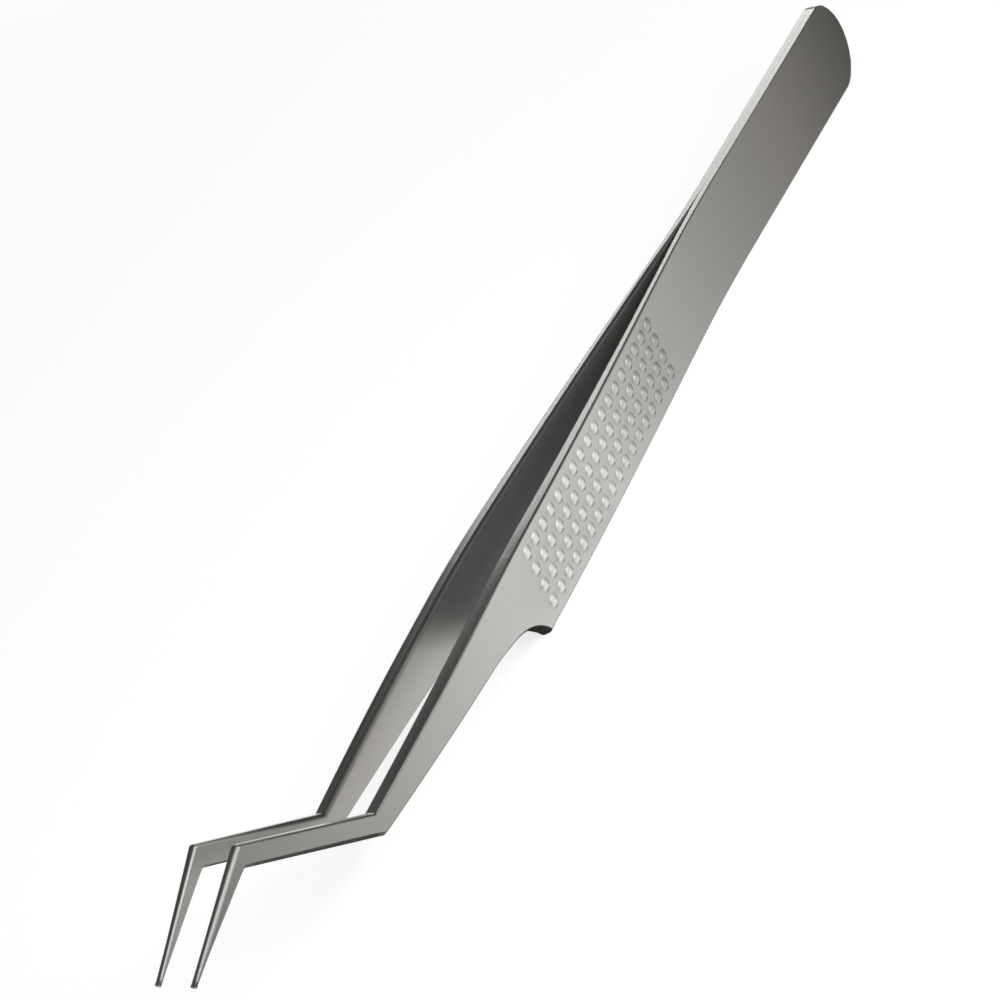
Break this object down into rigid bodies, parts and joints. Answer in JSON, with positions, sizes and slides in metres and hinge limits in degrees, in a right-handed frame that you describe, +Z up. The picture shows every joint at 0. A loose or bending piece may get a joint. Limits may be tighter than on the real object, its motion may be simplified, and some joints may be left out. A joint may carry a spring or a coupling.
{
  "type": "soldering tweezers",
  "caption": "Steel tweezers with dotted grips, a finger step and cranked, downward pointing fine tips for placing small parts.",
  "frame": {"origin": "below the middle of the length, on the plane between the two blades, at the height of the lower edges that the tweezers lie on", "axes": "+X from the butt towards the tips, +Y across the gap towards the left blade, +Z up, the side to which the arm and tips are cranked"},
  "size_m": [0.1504, 0.0076, 0.0173],
  "materials": {
    "steel": "satin stainless steel, fine bead-blasted faces and polished edges"
  },
  "bodies": {
    "root": {"left_blade": "steel", "right_blade": "steel"}
  },
  "joints": []
}
